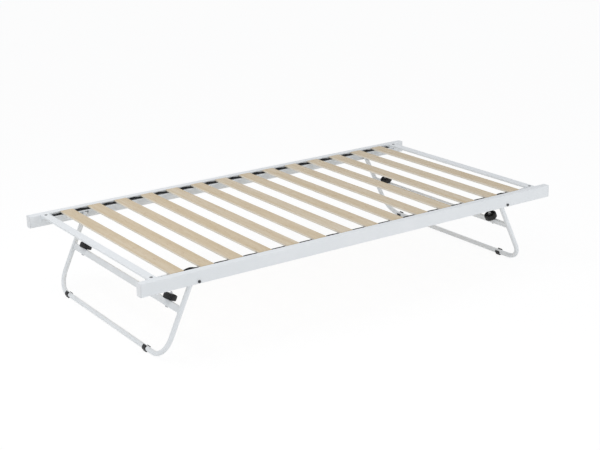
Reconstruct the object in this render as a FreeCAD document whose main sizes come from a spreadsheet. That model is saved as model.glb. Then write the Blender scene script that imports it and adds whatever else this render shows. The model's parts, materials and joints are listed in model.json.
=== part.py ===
import FreeCAD, Part
import os
import re
import Sketcher
from FreeCAD import Vector

# Folding trundle bed: a low slatted bed that rolls away under a full-height one.
#
# Two rectangular-tube side rails are tied by two flat cross rails and carry fourteen flat
# slats on inside ledges. A U-shaped tubular leg hangs on pivot bolts near each end. Standing,
# the legs splay outwards against welded stops. Folded flat under the slats, they let the bed
# down on the four wheels of their cross bars, which then roll sideways.
#
# Frame: millimetres, +X along the bed towards the foot end, +Y towards the rear rail, +Z up.
# The origin is on the floor under the middle of the standing bed.

SIZES = (
    ("bed_length", 1915, "over the rail end caps"),
    ("bed_width", 990, "over the outer faces of the side rails"),
    ("bed_height", 333, "floor to the top of the rails and slats, legs open"),
    ("rail_height", 50, "side rail tube, upright side"),
    ("rail_thickness", 30, "side rail tube, flat side"),
    ("rail_wall", 1.5, "side rail tube wall"),
    ("rail_corner", 3, "outside corner radius of the side rail tube"),
    ("cap_rim", 3, "plate of a rail end cap"),
    ("cap_edge", 1, "rounding round the plate of a rail end cap"),
    ("cap_depth", 18, "spigot of a rail end cap inside the rail"),
    ("cap_wall", 2, "wall of the hollow spigot"),
    ("cap_clearance", 0.1, "gap between a spigot and the tube round it"),
    ("ledge_width", 30, "flat flange that carries the slats"),
    ("ledge_depth", 20, "upright flange welded to the rail"),
    ("ledge_thickness", 3, "both flanges"),
    ("slat_count", 14, "slats in the bed"),
    ("slat_width", 56, "one slat along the bed"),
    ("slat_thickness", 8, "one slat"),
    ("slat_edge", 2, "rounding of a slat's long edges"),
    ("slat_margin", 134.5, "rail end to the first slat"),
    ("slat_end_gap", 2.5, "rail wall to slat end"),
    ("strap_width", 25, "webbing under the slat ends"),
    ("strap_thickness", 1.2, "webbing"),
    ("strap_side_gap", 1, "rail wall to webbing"),
    ("strap_end_gap", 12, "cross rail to webbing end"),
    ("rivet_diameter", 4, "rivet that pins a webbing end to the ledge"),
    ("rivet_head", 9, "rivet head diameter"),
    ("rivet_head_height", 1.5, "rivet head above the webbing"),
    ("rivet_inset", 12, "webbing end to rivet"),
    ("staple_crown", 10, "staple width"),
    ("staple_wire", 0.6, "staple wire"),
    ("staple_leg", 7, "staple leg, through webbing into slat"),
    ("cross_width", 34, "flat cross rail tube, along the bed"),
    ("cross_wall", 1.5, "cross rail tube wall"),
    ("cross_corner", 2, "outside corner radius of cross rails and wheel bars"),
    ("cross_inset", 67, "rail end to cross rail centre line"),
    ("cross_end_gap", 1, "cross rail end to side rail"),
    ("cross_bolt_head", 13, "domed head of a cross rail bolt, diameter"),
    ("cross_bolt_rise", 1, "domed head of a cross rail bolt, height"),
    ("pivot_inset", 230.5, "rail end to leg pivot"),
    ("pivot_drop", 41, "rail top to leg pivot"),
    ("pivot_clearance", 0.08, "leg hole round the pivot bolt, on the radius"),
    ("leg_tilt", 25.5, "outward splay of an open leg, degrees from upright"),
    ("leg_side_gap", 8, "rail wall to leg tube"),
    ("leg_play", 0.3, "leg tube to spacer and to inner washer"),
    ("tube_diameter", 19, "leg tube"),
    ("tube_wall", 1.5, "leg tube wall"),
    ("bend_radius", 80, "leg tube bends, on the centre line"),
    ("leg_head", 21, "leg tube above the pivot"),
    ("plug_dome", 4, "rounded top of a leg plug"),
    ("plug_depth", 12, "leg plug inside the tube"),
    ("stop_thickness", 7, "stop tab, along the bed"),
    ("stop_rise", 11, "pivot to the lower edge of a stop tab"),
    ("stop_gap", 0.2, "stop tab to leg tube"),
    ("stop_width", 22, "stop tab, across the bed"),
    ("bar_height", 25, "wheel bar tube, along the leg"),
    ("bar_width", 10, "wheel bar tube, square to the leg"),
    ("bar_wall", 1.5, "wheel bar wall"),
    ("bar_drop", 124.5, "pivot to wheel bar centre line"),
    ("wheel_diameter", 51, "wheel"),
    ("wheel_width", 20, "wheel"),
    ("wheel_inset", 95.5, "leg tube centre line to wheel axis"),
    ("wheel_hub", 18, "wheel hub diameter"),
    ("wheel_rim", 5, "wheel tread thickness"),
    ("wheel_web", 6, "disc between hub and rim"),
    ("wheel_rib", 2.4, "wheel rib thickness"),
    ("wheel_rib_inset", 2, "rib edge below the wheel face"),
    ("wheel_rib_count", 6, "ribs on each wheel"),
    ("wheel_edge", 3, "rounding of the tread edges"),
    ("wheel_clearance", 0.08, "wheel bore round its sleeve, on the radius"),
    ("wheel_play", 0.3, "wheel to washer, each side"),
    ("sleeve_diameter", 10, "bearing sleeve"),
    ("bolt_diameter", 6, "pivot, cross rail and axle bolts"),
    ("bolt_clearance", 0.25, "holes and rings round a bolt, on the radius"),
    ("bolt_flats", 10, "hexagon heads and nuts, across flats"),
    ("bolt_head", 4, "hexagon head height"),
    ("bolt_end", 2.5, "bolt end past its nut"),
    ("nut_height", 5, "nut"),
    ("nut_fit", 0.02, "nut bore round its bolt, on the radius"),
    ("washer_diameter", 12, "washer"),
    ("washer_thickness", 1.5, "washer"),
    ("spacer_diameter", 12, "spacer between rail and leg"),
    ("clip_wall", 3, "foot clip wall, and its sole under the tube"),
    ("clip_width", 22, "foot clip along the tube"),
    ("clip_sole", 15, "flat sole of a foot clip"),
    ("clip_mouth", 15, "opening of a foot clip, towards the leg's pivots"),
    ("clip_lip", 1.8, "radius of the beads along the mouth"),
    ("clip_fit", 0.05, "clip bore round the tube, on the radius"),
    ("clip_inset_front", 132, "leg tube centre line to the front clips"),
    ("clip_inset_rear", 92, "leg tube centre line to the rear clips"),
)

NAMES = {name for name, value, note in SIZES}
HEAD, FOOT = -1, 1
FRONT, REAR = -1, 1
ENDS = (("head", HEAD), ("foot", FOOT))
SIDES = (("front", FRONT), ("rear", REAR))
CORNERS = [(f"{end}_{side}", at_x, at_y) for end, at_x in ENDS for side, at_y in SIDES]

# Formulas that several pieces share. Lengths are from the bed's origin.
RAIL_INNER_Y = "(bed_width / 2 - rail_thickness)"
RAIL_MID_Y = "(bed_width / 2 - rail_thickness / 2)"
RAIL_MID_Z = "(bed_height - rail_height / 2)"
RAIL_LENGTH = "(bed_length - 2 * cap_rim)"
SLAT_UNDER_Z = "(bed_height - slat_thickness)"
STRAP_UNDER_Z = f"({SLAT_UNDER_Z} - strap_thickness)"
LEDGE_TOP_Z = f"({STRAP_UNDER_Z} - staple_wire)"
LEDGE_UNDER_Z = f"({LEDGE_TOP_Z} - ledge_thickness)"
LEDGE_MID_Y = f"({RAIL_INNER_Y} - ledge_width / 2)"
STRAP_Y = f"({RAIL_INNER_Y} - strap_side_gap - strap_width / 2)"
CROSS_X = "(bed_length / 2 - cross_inset)"
CROSS_TOP_Z = "(bed_height - cross_bolt_rise)"
CROSS_HEIGHT = f"({CROSS_TOP_Z} - {LEDGE_TOP_Z})"
STRAP_END_X = f"({CROSS_X} - cross_width / 2 - strap_end_gap)"
RIVET_X = f"({STRAP_END_X} - rivet_inset)"
PIVOT_X = "(bed_length / 2 - pivot_inset)"
PIVOT_Z = "(bed_height - pivot_drop)"
LEG_Y = f"({RAIL_INNER_Y} - leg_side_gap - tube_diameter / 2)"
LEG_DROP = f"(({PIVOT_Z} - tube_diameter / 2 - clip_wall) / cos(leg_tilt))"
WHEEL_Y = f"({LEG_Y} - wheel_inset)"
HOLE_DIAMETER = "(bolt_diameter + 2 * bolt_clearance)"
AXLE_FOOT = "(bar_drop - bar_height / 2)"
SLEEVE_LENGTH = "(wheel_width + 2 * wheel_play)"
WHEEL_DROP = f"({AXLE_FOOT} - washer_thickness - {SLEEVE_LENGTH} / 2)"
SLAT_PITCH = "((bed_length - 2 * slat_margin - slat_width) / (slat_count - 1))"

doc = FreeCAD.newDocument("trundle_bed")
sheet = doc.addObject("Spreadsheet::Sheet", "Dims")
for row, (name, value, note) in enumerate(SIZES, start=1):
    sheet.set(f"A{row}", str(value))
    sheet.setAlias(f"A{row}", name)
    sheet.set(f"B{row}", note)
doc.recompute()

nodes = []


def tied(formula):
    """The formula with every named size read from the sheet."""
    return re.sub(r"[a-z_]+", lambda word: f"Dims.{word[0]}" if word[0] in NAMES else word[0], formula)


def size(formula):
    """The present value of a formula."""
    return float(sheet.evalExpression(tied(formula)))


def bind(thing, **formulas):
    """Tie properties of an object to formulas of named sizes."""
    for name, formula in formulas.items():
        thing.setExpression(name, tied(formula))
    return thing


def place(thing, x="0", y="0", z="0"):
    """Put an object's own origin at x, y, z, given as formulas."""
    for letter, formula in zip("xyz", (x, y, z)):
        thing.setExpression(f"Placement.Base.{letter}", tied(formula))
    return thing


def turn(thing, axis, degrees):
    """Turn an object about one of its own axes by a fixed angle."""
    thing.Placement = FreeCAD.Placement(thing.Placement.Base, FreeCAD.Rotation(axis, degrees))
    return thing


def place_on_leg(thing, end, y="0", up="0", inward="0"):
    """Put an object in a leg's tilted frame: y across the bed, up along the leg from the
    pivot, and inward square to both, towards the middle of the bed."""
    turn(thing, Vector(0, -end, 0), size("leg_tilt"))
    thing.setExpression("Placement.Rotation.Angle", tied("leg_tilt"))
    across = f"{-end} * ({inward})"
    x = f"{end} * {PIVOT_X} + ({across}) * cos(leg_tilt) - {end} * ({up}) * sin(leg_tilt)"
    z = f"{PIVOT_Z} + {end} * ({across}) * sin(leg_tilt) + ({up}) * cos(leg_tilt)"
    return place(thing, x, y, z)


def node(thing, label):
    """Name an object as one of the bed's sub-parts."""
    thing.Label = label
    nodes.append(thing)
    return thing


# Sketches and PartDesign features

def new_body(label):
    return node(doc.addObject("PartDesign::Body", label), label)


def new_sketch(body, plane, offset="0"):
    """A sketch on one of the body's own origin planes, moved along its normal."""
    sketch = body.newObject("Sketcher::SketchObject", f"{body.Name}_sketch")
    planes = [feature for feature in body.Origin.OriginFeatures if feature.Role == plane]
    sketch.AttachmentSupport = [(planes[0], "")]
    sketch.MapMode = "FlatFace"
    sketch.setExpression("AttachmentOffset.Base.z", tied(offset))
    return sketch


def dimension(sketch, kind, parts, formula):
    """Add a sketch dimension tied to a formula."""
    index = sketch.addConstraint(Sketcher.Constraint(kind, *parts, size(formula)))
    sketch.setExpression(f"Constraints[{index}]", tied(formula))


def add_circle(sketch, diameter, x="0", y="0"):
    """A circle whose centre is x, y from the sketch origin."""
    centre = Vector(size(x), size(y), 0)
    circle = sketch.addGeometry(Part.Circle(centre, Vector(0, 0, 1), size(diameter) / 2))
    dimension(sketch, "Diameter", (circle,), diameter)
    dimension(sketch, "DistanceX", (-1, 1, circle, 3), x)
    dimension(sketch, "DistanceY", (-1, 1, circle, 3), y)


def add_polygon(sketch, corners):
    """A closed outline whose corners are pairs of formulas, each tied to the origin."""
    points = [Vector(size(x), size(y), 0) for x, y in corners]
    first = sketch.GeometryCount
    count = len(points)
    for index, point in enumerate(points):
        sketch.addGeometry(Part.LineSegment(point, points[(index + 1) % count]))
    for index, (x, y) in enumerate(corners):
        following = first + (index + 1) % count
        sketch.addConstraint(Sketcher.Constraint("Coincident", first + index, 2, following, 1))
        dimension(sketch, "DistanceX", (-1, 1, first + index, 1), x)
        dimension(sketch, "DistanceY", (-1, 1, first + index, 1), y)


def add_rectangle(sketch, width, height, x="0", y="0"):
    """A rectangle whose centre is x, y from the sketch origin."""
    left, right = f"{x} - ({width}) / 2", f"{x} + ({width}) / 2"
    low, high = f"{y} - ({height}) / 2", f"{y} + ({height}) / 2"
    add_polygon(sketch, ((left, low), (right, low), (right, high), (left, high)))


def pad(body, sketch, length, symmetric=True, reverse=False):
    """Grow a sketch into a solid, both ways from its plane unless told otherwise."""
    feature = body.newObject("PartDesign::Pad", f"{body.Name}_pad")
    feature.Profile = sketch
    feature.SideType = "Symmetric" if symmetric else "One side"
    feature.Reversed = reverse
    bind(feature, Length=length)
    doc.recompute()
    return feature


def cut(body, sketch, depth=None, reverse=False):
    """Cut a sketch out of the body: right through both ways, or to a depth."""
    before = body.Shape.Volume
    feature = body.newObject("PartDesign::Pocket", f"{body.Name}_pocket")
    feature.Profile = sketch
    feature.Reversed = reverse
    if depth is None:
        feature.Type = "ThroughAll"
        feature.SideType = "Symmetric"
    else:
        bind(feature, Length=depth)
    doc.recompute()
    if not body.Shape.Volume < before:
        raise RuntimeError(f"{feature.Name} removes nothing")
    return feature


def round_edges(body, radius, chosen):
    """Round the edges of the body's last feature that chosen accepts."""
    base = body.Tip
    box = base.Shape.BoundBox
    names = [f"Edge{number}" for number, edge in enumerate(base.Shape.Edges, start=1) if chosen(edge, box)]
    feature = body.newObject("PartDesign::Fillet", f"{body.Name}_fillet")
    feature.Base = (base, names)
    bind(feature, Radius=radius)
    doc.recompute()
    return feature


def long_outer_edge(axis):
    """A test for the edges along axis that lie on the corners of the bounding box."""
    across = [letter for letter in "xyz" if letter != axis]

    def chosen(edge, box):
        middle = edge.CenterOfMass
        span = getattr(box, f"{axis.upper()}Length")
        on_corner = all(
            min(abs(getattr(middle, letter) - getattr(box, f"{letter.upper()}Min")),
                abs(getattr(middle, letter) - getattr(box, f"{letter.upper()}Max"))) < 1e-6
            for letter in across)
        return on_corner and abs(edge.Length - span) < 1e-6

    return chosen


def square_tube(label, axis, width, height, wall, corner, length):
    """A rectangular tube centred on its own origin, along X or along Y."""
    body = new_body(label)
    sketch = new_sketch(body, "YZ_Plane" if axis == "x" else "XZ_Plane")
    add_rectangle(sketch, width, height)
    add_rectangle(sketch, f"({width} - 2 * {wall})", f"({height} - 2 * {wall})")
    pad(body, sketch, length)
    round_edges(body, corner, long_outer_edge(axis))
    return body


# Part primitives, for turned and bought-in pieces

def cylinder(diameter, height, z="0"):
    """A cylinder standing on z, on its own Z axis."""
    return place(bind(doc.addObject("Part::Cylinder", "round"), Radius=f"({diameter}) / 2", Height=height), z=z)


def block(length, width, height, x, y, z):
    """A box of the given size whose centre is at x, y and whose base is at z."""
    solid = bind(doc.addObject("Part::Box", "block"), Length=length, Width=width, Height=height)
    return place(solid, f"{x} - ({length}) / 2", f"{y} - ({width}) / 2", z)


def fuse(*solids):
    joined = doc.addObject("Part::MultiFuse", "joined")
    joined.Shapes = list(solids)
    return joined


def subtract(base, tool):
    remainder = doc.addObject("Part::Cut", "remainder")
    remainder.Base = base
    remainder.Tool = tool
    return remainder


def ring(outer, inner, height):
    """A washer, sleeve or spacer standing on its own XY plane."""
    return subtract(cylinder(outer, height), cylinder(inner, height))


def hexagon(height):
    """A hexagonal prism of the bolts' size standing on its own XY plane."""
    prism = doc.addObject("Part::Prism", "hexagon")
    prism.Polygon = 6
    return bind(prism, Circumradius="bolt_flats / (2 * cos(30))", Height=height)


def bolt(shank):
    """A hexagon bolt: the underside of its head on the XY plane, its shank down -Z."""
    return fuse(hexagon("bolt_head"), cylinder("bolt_diameter", shank, z=f"-({shank})"))


def nut():
    """A nut standing on the XY plane."""
    return subtract(hexagon("nut_height"), cylinder("bolt_diameter + 2 * nut_fit", "nut_height"))


def washer():
    return ring("washer_diameter", HOLE_DIAMETER, "washer_thickness")


def group(label, members):
    """One node that holds several like pieces as separate solids."""
    compound = doc.addObject("Part::Compound", label)
    compound.Links = list(members)
    return node(compound, label)


# Side rails, their end caps and the welded ledges

def make_side_rail(side, at_y):
    """A rectangular tube with a cross hole for the pivot bolt near each end."""
    body = square_tube(f"side_rail_{side}", "x", "rail_thickness", "rail_height", "rail_wall",
                       "rail_corner", RAIL_LENGTH)
    holes = new_sketch(body, "XZ_Plane")
    for end, at_x in ENDS:
        add_circle(holes, HOLE_DIAMETER, f"{at_x} * {PIVOT_X}", f"{PIVOT_Z} - {RAIL_MID_Z}")
    cut(body, holes)
    place(body, y=f"{at_y} * {RAIL_MID_Y}", z=RAIL_MID_Z)


def make_rail_cap(label, at_x, at_y):
    """A moulded plug: a rounded plate over the rail's end and a hollow spigot inside it."""
    body = new_body(f"rail_cap_{label}")
    plate = new_sketch(body, "YZ_Plane")
    add_rectangle(plate, "rail_thickness", "rail_height")
    pad(body, plate, "cap_rim", symmetric=False)
    round_edges(body, "rail_corner", long_outer_edge("x"))
    round_edges(body, "cap_edge", lambda edge, box: edge.BoundBox.XMin > box.XMax - 1e-6)
    spigot = new_sketch(body, "YZ_Plane")
    inset = "rail_wall + cap_clearance"
    for shrink in (f"2 * ({inset})", f"2 * ({inset} + cap_wall)"):
        add_rectangle(spigot, f"(rail_thickness - {shrink})", f"(rail_height - {shrink})")
    pad(body, spigot, "cap_depth", symmetric=False, reverse=True)
    turn(body, Vector(0, 0, 1), 0 if at_x == FOOT else 180)
    place(body, f"{at_x} * {RAIL_LENGTH} / 2", f"{at_y} * {RAIL_MID_Y}", RAIL_MID_Z)


def make_slat_ledge(side, at_y):
    """An angle: its flat flange carries the slats, its upright one is welded to the rail."""
    body = new_body(f"slat_ledge_{side}")
    section = new_sketch(body, "YZ_Plane")
    wall, nose = "0", f"{-at_y} * ledge_width"
    face = f"{-at_y} * ledge_thickness"
    add_polygon(section, ((wall, "0"), (nose, "0"), (nose, "-ledge_thickness"), (face, "-ledge_thickness"),
                          (face, "-ledge_depth"), (wall, "-ledge_depth")))
    pad(body, section, f"2 * {CROSS_X} + cross_width")
    holes = new_sketch(body, "XY_Plane")
    for end, at_x in ENDS:
        add_circle(holes, HOLE_DIAMETER, f"{at_x} * {CROSS_X}", f"{-at_y} * ledge_width / 2")
        add_circle(holes, "rivet_diameter", f"{at_x} * {RIVET_X}", f"{at_y} * ({STRAP_Y} - {RAIL_INNER_Y})")
    cut(body, holes)
    place(body, y=f"{at_y} * {RAIL_INNER_Y}", z=LEDGE_TOP_Z)


# Cross rails and what bolts them down on the ledges

def make_cross_rail(end, at_x):
    """A flat tube lying on the ends of the two ledges, drilled through at both ends."""
    length = f"2 * ({RAIL_INNER_Y} - cross_end_gap)"
    body = square_tube(f"cross_rail_{end}", "y", "cross_width", CROSS_HEIGHT, "cross_wall", "cross_corner", length)
    holes = new_sketch(body, "XY_Plane")
    for side, at_y in SIDES:
        add_circle(holes, HOLE_DIAMETER, y=f"{at_y} * {LEDGE_MID_Y}")
    cut(body, holes)
    place(body, x=f"{at_x} * {CROSS_X}", z=f"{CROSS_TOP_Z} - {CROSS_HEIGHT} / 2")


def domed_bolt(shank):
    """A bolt with a low domed head: the head stands on the XY plane, the shank runs down -Z."""
    dome = bind(doc.addObject("Part::Ellipsoid", "dome"), Radius1="cross_bolt_rise",
                Radius2="cross_bolt_head / 2", Radius3="cross_bolt_head / 2")
    dome.Angle1 = 0
    return fuse(dome, cylinder("bolt_diameter", shank, z=f"-({shank})"))


def make_cross_rail_fasteners():
    """Bolts drop through cross rail and ledge, each with a washer and a nut below."""
    shank = f"{CROSS_HEIGHT} + ledge_thickness + washer_thickness + nut_height + bolt_end"
    rows = (("bolts", lambda: domed_bolt(shank), CROSS_TOP_Z),
            ("washers", washer, f"{LEDGE_UNDER_Z} - washer_thickness"),
            ("nuts", nut, f"{LEDGE_UNDER_Z} - washer_thickness - nut_height"))
    for name, make, z in rows:
        group(f"cross_rail_{name}", [place(make(), f"{at_x} * {CROSS_X}", f"{at_y} * {LEDGE_MID_Y}", z)
                                     for label, at_x, at_y in CORNERS])


# Slats, the webbing under their ends, and its staples and rivets

def slat_x(number):
    return f"(slat_width / 2 + slat_margin - bed_length / 2 + {number} * {SLAT_PITCH})"


def make_slat(number):
    """A flat slat with rounded long edges, resting by its ends on the webbing."""
    body = new_body(f"slat_{number + 1:02d}")
    section = new_sketch(body, "XZ_Plane")
    add_rectangle(section, "slat_width", "slat_thickness")
    pad(body, section, f"2 * ({RAIL_INNER_Y} - slat_end_gap)")
    round_edges(body, "slat_edge", long_outer_edge("y"))
    place(body, x=slat_x(number), z=f"{SLAT_UNDER_Z} + slat_thickness / 2")


def make_strap(side, at_y):
    """Woven webbing that spaces the slats, lying along the ledge under their ends."""
    body = new_body(f"slat_strap_{side}")
    outline = new_sketch(body, "XY_Plane")
    add_rectangle(outline, f"2 * {STRAP_END_X}", "strap_width")
    for end, at_x in ENDS:
        add_circle(outline, "rivet_diameter", f"{at_x} * {RIVET_X}")
    pad(body, outline, "strap_thickness", symmetric=False)
    place(body, y=f"{at_y} * {STRAP_Y}", z=STRAP_UNDER_Z)


def make_staple(x, y):
    """A wire staple: crown under the webbing, two legs up into the slat."""
    crown = block("staple_wire", "staple_crown", "staple_wire", x, y, LEDGE_TOP_Z)
    reach = "(staple_crown - staple_wire) / 2"
    legs = [block("staple_wire", "staple_wire", "staple_leg", x, f"{y} + {hand} * {reach}", LEDGE_TOP_Z)
            for hand in (-1, 1)]
    return fuse(crown, *legs)


def make_rivet(x, y):
    """A rivet: a domed head on the webbing, its shank through webbing and ledge."""
    dome = bind(doc.addObject("Part::Ellipsoid", "dome"), Radius1="rivet_head_height",
                Radius2="rivet_head / 2", Radius3="rivet_head / 2")
    dome.Angle1 = 0
    place(dome, z="staple_wire + strap_thickness")
    shank = cylinder("rivet_diameter", "ledge_thickness + staple_wire + strap_thickness", z="-ledge_thickness")
    collar = cylinder("rivet_diameter * 1.6", "rivet_head_height / 2", z="-ledge_thickness - rivet_head_height / 2")
    return place(fuse(dome, shank, collar), x, y, LEDGE_TOP_Z)


# Legs: bent tube, plugs, wheel bar, stops and pivots

def make_leg_tube(end, at_x):
    """A tube bent into a U, open at the top, cross-drilled for the pivot bolts. Its own
    origin is midway between the pivots, with the two shanks down -Z."""
    body = new_body(f"leg_tube_{end}")
    spine = new_sketch(body, "YZ_Plane")
    half, low, radius = size(LEG_Y), size(f"-{LEG_DROP}"), size("bend_radius")
    top = size("leg_head")
    mid = radius * 0.5 ** 0.5
    corners = [Vector(-half, top, 0), Vector(-half, low + radius, 0), Vector(radius - half, low, 0),
               Vector(half - radius, low, 0), Vector(half, low + radius, 0), Vector(half, top, 0)]
    knees = [Vector(radius - half - mid, low + radius - mid, 0), Vector(half - radius + mid, low + radius - mid, 0)]
    spine.addGeometry(Part.LineSegment(corners[0], corners[1]))
    spine.addGeometry(Part.Arc(corners[1], knees[0], corners[2]))
    spine.addGeometry(Part.LineSegment(corners[2], corners[3]))
    spine.addGeometry(Part.Arc(corners[3], knees[1], corners[4]))
    spine.addGeometry(Part.LineSegment(corners[4], corners[5]))
    # An arc is stored anticlockwise, and both bends run that way along the tube.
    for before, after in ((0, 1), (1, 2), (2, 3), (3, 4)):
        spine.addConstraint(Sketcher.Constraint("Tangent", before, 2, after, 1))
    for line in (0, 4):
        spine.addConstraint(Sketcher.Constraint("Vertical", line))
    spine.addConstraint(Sketcher.Constraint("Equal", 1, 3))
    spine.addConstraint(Sketcher.Constraint("Horizontal", 2))
    dimension(spine, "Radius", (1,), "bend_radius")
    dimension(spine, "DistanceX", (-1, 1, 0, 1), f"-{LEG_Y}")
    dimension(spine, "DistanceX", (-1, 1, 4, 2), LEG_Y)
    dimension(spine, "DistanceY", (-1, 1, 0, 1), "leg_head")
    dimension(spine, "DistanceY", (-1, 1, 4, 2), "leg_head")
    dimension(spine, "DistanceY", (-1, 1, 2, 1), f"-{LEG_DROP}")
    section = new_sketch(body, "XY_Plane", "leg_head")
    for diameter in ("tube_diameter", "tube_diameter - 2 * tube_wall"):
        add_circle(section, diameter, y=f"-{LEG_Y}")
    doc.recompute()
    pipe = body.newObject("PartDesign::AdditivePipe", f"{body.Name}_pipe")
    pipe.Profile = section
    pipe.Spine = spine
    doc.recompute()
    hole = new_sketch(body, "XZ_Plane")
    add_circle(hole, "bolt_diameter + 2 * pivot_clearance")
    cut(body, hole)
    place_on_leg(body, at_x)


def make_leg_plug(end, at_y):
    """A plug in the open top of a leg tube, with a rounded head."""
    dome = bind(doc.addObject("Part::Ellipsoid", "dome"), Radius1="plug_dome",
                Radius2="tube_diameter / 2", Radius3="tube_diameter / 2")
    dome.Angle1 = 0
    spigot = cylinder("tube_diameter - 2 * tube_wall - 2 * cap_clearance", "plug_depth", z="-plug_depth")
    plug = fuse(dome, spigot)
    return place_on_leg(plug, end, f"{at_y} * {LEG_Y}", "leg_head")


def make_wheel_bar(end, at_x):
    """A flat tube welded on edge between the shanks, coped to them and drilled for the axles."""
    body = square_tube(f"wheel_bar_{end}", "y", "bar_width", "bar_height", "bar_wall", "cross_corner", f"2 * {LEG_Y}")
    holes = new_sketch(body, "XY_Plane")
    for side, at_y in SIDES:
        add_circle(holes, "tube_diameter", y=f"{at_y} * {LEG_Y}")
        add_circle(holes, HOLE_DIAMETER, y=f"{at_y} * {WHEEL_Y}")
    cut(body, holes)
    place_on_leg(body, at_x, up="-bar_drop")


def make_leg_stop(at_x, at_y):
    """A tab under the ledge whose sloping face meets the shank's top when the leg is open."""
    height = f"({LEDGE_UNDER_Z} - {PIVOT_Z})"
    slab = bind(doc.addObject("Part::Box", "slab"), Length="stop_thickness", Width="bed_width", Height=f"2 * {height}")
    near = "tube_diameter / 2 + stop_gap"
    inward = near if at_x == HEAD else f"{near} + stop_thickness"
    place_on_leg(slab, at_x, "-bed_width / 2", "0", inward)
    reach = f"({RAIL_INNER_Y} - ledge_thickness - stop_width / 2)"
    window = block("4 * bar_height", "stop_width", f"{height} - stop_rise",
                   f"{at_x} * {PIVOT_X}", f"{at_y} * {reach}", f"{PIVOT_Z} + stop_rise")
    tab = doc.addObject("Part::Common", "tab")
    tab.Base = slab
    tab.Tool = window
    return tab


def make_pivots():
    """Pivot bolts run in from the rail's outer face through a spacer and the leg's shank to
    a washer and nut inside."""
    leg_inner = f"({LEG_Y} - tube_diameter / 2 - leg_play)"
    shank = f"bed_width / 2 - {leg_inner} + washer_thickness + nut_height + bolt_end"
    rows = (("bolts", lambda: bolt(shank), "bed_width / 2"),
            ("spacers", lambda: ring("spacer_diameter", HOLE_DIAMETER, "leg_side_gap - leg_play"),
             f"({LEG_Y} + tube_diameter / 2 + leg_play)"),
            ("washers", washer, f"({leg_inner} - washer_thickness)"),
            ("nuts", nut, f"({leg_inner} - washer_thickness - nut_height)"))
    for name, make, base in rows:
        group(f"pivot_{name}", [place(turn(make(), Vector(1, 0, 0), -90 * at_y),
                                      f"{at_x} * {PIVOT_X}", f"{at_y} * {base}", PIVOT_Z)
                                for label, at_x, at_y in CORNERS])


# Wheels, their axles and the foot clips

def make_wheel(label, at_x, at_y):
    """A moulded wheel: rounded tread, ribbed web set back on both faces, plain bore."""
    body = new_body(f"wheel_{label}")
    disc = new_sketch(body, "XY_Plane")
    add_circle(disc, "wheel_diameter")
    add_circle(disc, "sleeve_diameter + 2 * wheel_clearance")
    pad(body, disc, "wheel_width")
    tread = size("wheel_diameter") / 2
    round_edges(body, "wheel_edge",
                lambda edge, box: hasattr(edge.Curve, "Radius") and abs(edge.Curve.Radius - tread) < 1e-6)
    for face in (-1, 1):
        recess = new_sketch(body, "XY_Plane", f"{face} * wheel_width / 2")
        add_circle(recess, "wheel_diameter - 2 * wheel_rim")
        add_circle(recess, "wheel_hub")
        cut(body, recess, "(wheel_width - wheel_web) / 2", reverse=face < 0)
    rib = new_sketch(body, "XY_Plane")
    span = "(wheel_diameter / 2 - wheel_rim - wheel_hub / 2 + 2)"
    add_rectangle(rib, span, "wheel_rib", x="(wheel_diameter / 2 - wheel_rim + wheel_hub / 2) / 2")
    first = pad(body, rib, "wheel_width - 2 * wheel_rib_inset")
    ribs = body.newObject("PartDesign::PolarPattern", f"{body.Name}_ribs")
    ribs.Originals = [first]
    ribs.Axis = ([feature for feature in body.Origin.OriginFeatures if feature.Role == "Z_Axis"][0], [""])
    ribs.Angle = 360
    bind(ribs, Occurrences="wheel_rib_count")
    body.Tip = ribs
    place_on_leg(body, at_x, f"{at_y} * {WHEEL_Y}", f"-{WHEEL_DROP}")


def turned_bolt(shank):
    """A hexagon bolt with its head below the XY plane and its shank up +Z."""
    head = place(hexagon("bolt_head"), z="-bolt_head")
    return fuse(head, cylinder("bolt_diameter", shank))


def make_axles(end, at_x):
    """Each wheel turns on a sleeve clamped by a bolt that comes up through the wheel bar."""
    top = f"({AXLE_FOOT} - 2 * washer_thickness - {SLEEVE_LENGTH})"
    shank = f"bar_drop + bar_height / 2 - {top} + nut_height + bolt_end"
    rows = (("bolts", lambda at_y: [(turned_bolt(shank), "-bar_drop - bar_height / 2")]),
            ("washers", lambda at_y: [(washer(), f"-{AXLE_FOOT}"), (washer(), f"-{top} - washer_thickness")]),
            ("sleeves", lambda at_y: [(ring("sleeve_diameter", HOLE_DIAMETER, SLEEVE_LENGTH),
                                       f"washer_thickness - {AXLE_FOOT}")]),
            ("nuts", lambda at_y: [(nut(), f"-{top}")]))
    for name, make in rows:
        pieces = [place_on_leg(piece, at_x, f"{at_y} * {WHEEL_Y}", up)
                  for side, at_y in SIDES for piece, up in make(at_y)]
        group(f"axle_{name}_{end}", pieces)


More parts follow.
